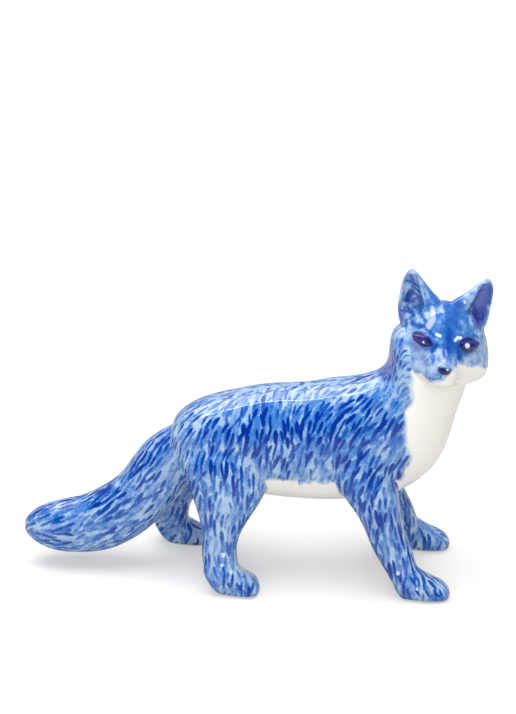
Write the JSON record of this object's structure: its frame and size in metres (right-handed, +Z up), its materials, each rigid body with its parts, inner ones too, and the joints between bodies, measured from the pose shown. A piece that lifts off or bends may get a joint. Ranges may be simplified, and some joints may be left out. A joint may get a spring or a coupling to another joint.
{
  "type": "fox figurine",
  "caption": "Free-standing glazed porcelain fox with a blue brushed coat and pale breast, standing on flat soles with its head turned to its right.",
  "frame": {"origin": "middle of the underside of the bounding box, in the plane of the four soles", "axes": "+X from the tail to the breast, +Y to the fox's left, +Z up"},
  "size_m": [0.1826, 0.0552, 0.128],
  "materials": {
    "painted_porcelain": "clear gloss glaze over cobalt brushwork on a pale blue wash, with a bare white breast and belly"
  },
  "bodies": {
    "root": {"torso": "painted_porcelain", "head": "painted_porcelain", "ear_left": "painted_porcelain", "ear_right": "painted_porcelain", "leg_front_left": "painted_porcelain", "leg_front_right": "painted_porcelain", "leg_hind_left": "painted_porcelain", "leg_hind_right": "painted_porcelain", "tail": "painted_porcelain"}
  },
  "joints": []
}
